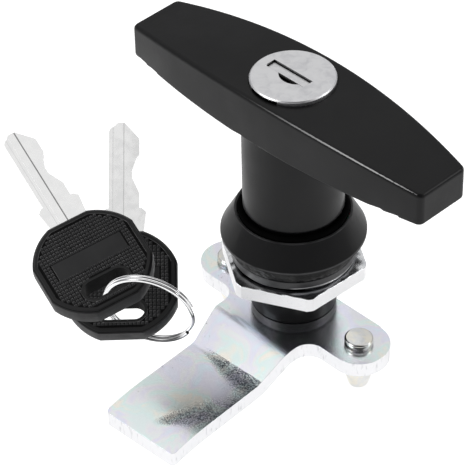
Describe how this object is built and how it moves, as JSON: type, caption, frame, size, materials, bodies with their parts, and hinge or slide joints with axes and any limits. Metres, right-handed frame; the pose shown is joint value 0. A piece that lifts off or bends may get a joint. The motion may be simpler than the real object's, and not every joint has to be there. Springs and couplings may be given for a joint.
{
  "type": "t-handle cabinet lock",
  "caption": "T-handle quarter-turn cabinet lock with a keyed cylinder in the handle, panel nut, joggled cam with rod pins, and keys on a split ring.",
  "frame": {"origin": "on the spindle axis at the underside of the flange, the plane that lies on the cabinet's panel", "axes": "+Z out of the panel along the spindle towards the handle's face, +X along the T-handle at rest, and the cam's arm points to -Y"},
  "size_m": [0.1212, 0.0769, 0.086],
  "materials": {
    "black_coat": "satin black powder coat on die-cast zinc",
    "seal_rubber": "matt black rubber",
    "black_washer": "black coated steel",
    "zinc_plate": "bright zinc plate",
    "nylon": "natural nylon",
    "cam_zinc": "blue zinc plate with pale rainbow tints",
    "pin_steel": "turned and zinc-plated steel",
    "die_cast": "bare die-cast zinc",
    "satin_face": "satin nickel",
    "spring_steel": "bright spring steel",
    "ring_chrome": "nickel-plated spring wire",
    "brass": "stamped brass",
    "key_plastic": "black moulded plastic with a dotted texture",
    "key_nickel": "nickel-plated brass"
  },
  "bodies": {
    "housing": {"housing": "black_coat", "gasket": "seal_rubber", "clamp_washer": "black_washer", "panel_nut": "zinc_plate", "thrust_washer": "nylon", "neck_seal": "seal_rubber"},
    "handle": {"t_handle": "black_coat", "stop_washer": "black_washer", "cam": "cam_zinc", "rod_pin_left": "pin_steel", "rod_pin_right": "pin_steel", "cam_washer": "zinc_plate", "spring_washer": "zinc_plate", "cam_screw": "zinc_plate", "cylinder_sleeve": "die_cast"},
    "plug": {"lock_plug": "die_cast", "face_cap": "satin_face", "plug_clip": "spring_steel", "tailpiece": "die_cast", "wafer_spring_1": "spring_steel", "wafer_spring_2": "spring_steel", "wafer_spring_3": "spring_steel", "wafer_spring_4": "spring_steel", "wafer_spring_5": "spring_steel"},
    "shutter": {"shutter": "satin_face"},
    "locking_bolt": {"locking_bolt": "die_cast"},
    "split_ring": {"split_ring": "ring_chrome"},
    "wafer_1": {"wafer_1": "brass"},
    "wafer_2": {"wafer_2": "brass"},
    "wafer_3": {"wafer_3": "brass"},
    "wafer_4": {"wafer_4": "brass"},
    "wafer_5": {"wafer_5": "brass"},
    "key_1": {"key_1_bow": "key_plastic", "key_1_blade": "key_nickel"},
    "key_2": {"key_2_bow": "key_plastic", "key_2_blade": "key_nickel"}
  },
  "joints": [
    {"name": "handle_turn", "type": "hinge", "parent": "housing", "child": "handle", "pos_m": [0, 0, 0], "axis": [0, 0, 1], "range_deg": [0, 90]},
    {"name": "plug_turn", "type": "hinge", "parent": "handle", "child": "plug", "pos_m": [0, 0, 0.03], "axis": [0, 0, 1], "range_deg": [0, 90]},
    {"name": "bolt_slide", "type": "slide", "parent": "handle", "child": "locking_bolt", "axis": [0, 1, 0], "range_m": [0, 0.00255]},
    {"name": "shutter_swing", "type": "hinge", "parent": "plug", "child": "shutter", "pos_m": [-0.0014, -0.0023, 0.04675], "axis": [-1, 0, 0], "range_deg": [0, 85], "stiffness_Nm_per_rad": 0.0002, "springref_deg": -20.05},
    {"name": "wafer_1_slide", "type": "slide", "parent": "plug", "child": "wafer_1", "axis": [-1, 0, 0], "range_m": [0, 0.0008], "stiffness_N_per_m": 60},
    {"name": "wafer_2_slide", "type": "slide", "parent": "plug", "child": "wafer_2", "axis": [1, 0, 0], "range_m": [0, 0.0008], "stiffness_N_per_m": 60},
    {"name": "wafer_3_slide", "type": "slide", "parent": "plug", "child": "wafer_3", "axis": [-1, 0, 0], "range_m": [0, 0.0008], "stiffness_N_per_m": 60},
    {"name": "wafer_4_slide", "type": "slide", "parent": "plug", "child": "wafer_4", "axis": [1, 0, 0], "range_m": [0, 0.0008], "stiffness_N_per_m": 60},
    {"name": "wafer_5_slide", "type": "slide", "parent": "plug", "child": "wafer_5", "axis": [-1, 0, 0], "range_m": [0, 0.0008], "stiffness_N_per_m": 60},
    {"name": "ring_lift", "type": "slide", "parent": "housing", "child": "split_ring", "axis": [0, 0, 1], "range_m": [0, 0.02]},
    {"name": "key_1_swing", "type": "hinge", "parent": "split_ring", "child": "key_1", "pos_m": [-0.02134, -0.04415, -0.00568], "axis": [0.4652, 0.1068, 0.8787], "range_deg": [0, 15]},
    {"name": "key_2_swing", "type": "hinge", "parent": "split_ring", "child": "key_2", "pos_m": [-0.02233, -0.04295, -0.01547], "axis": [0.285, 0.3246, -0.9019], "range_deg": [0, 12]}
  ],
  "couplings": [
    {"joint": "bolt_slide", "follows": "plug_turn", "m_per_rad": 0.0016206}
  ]
}
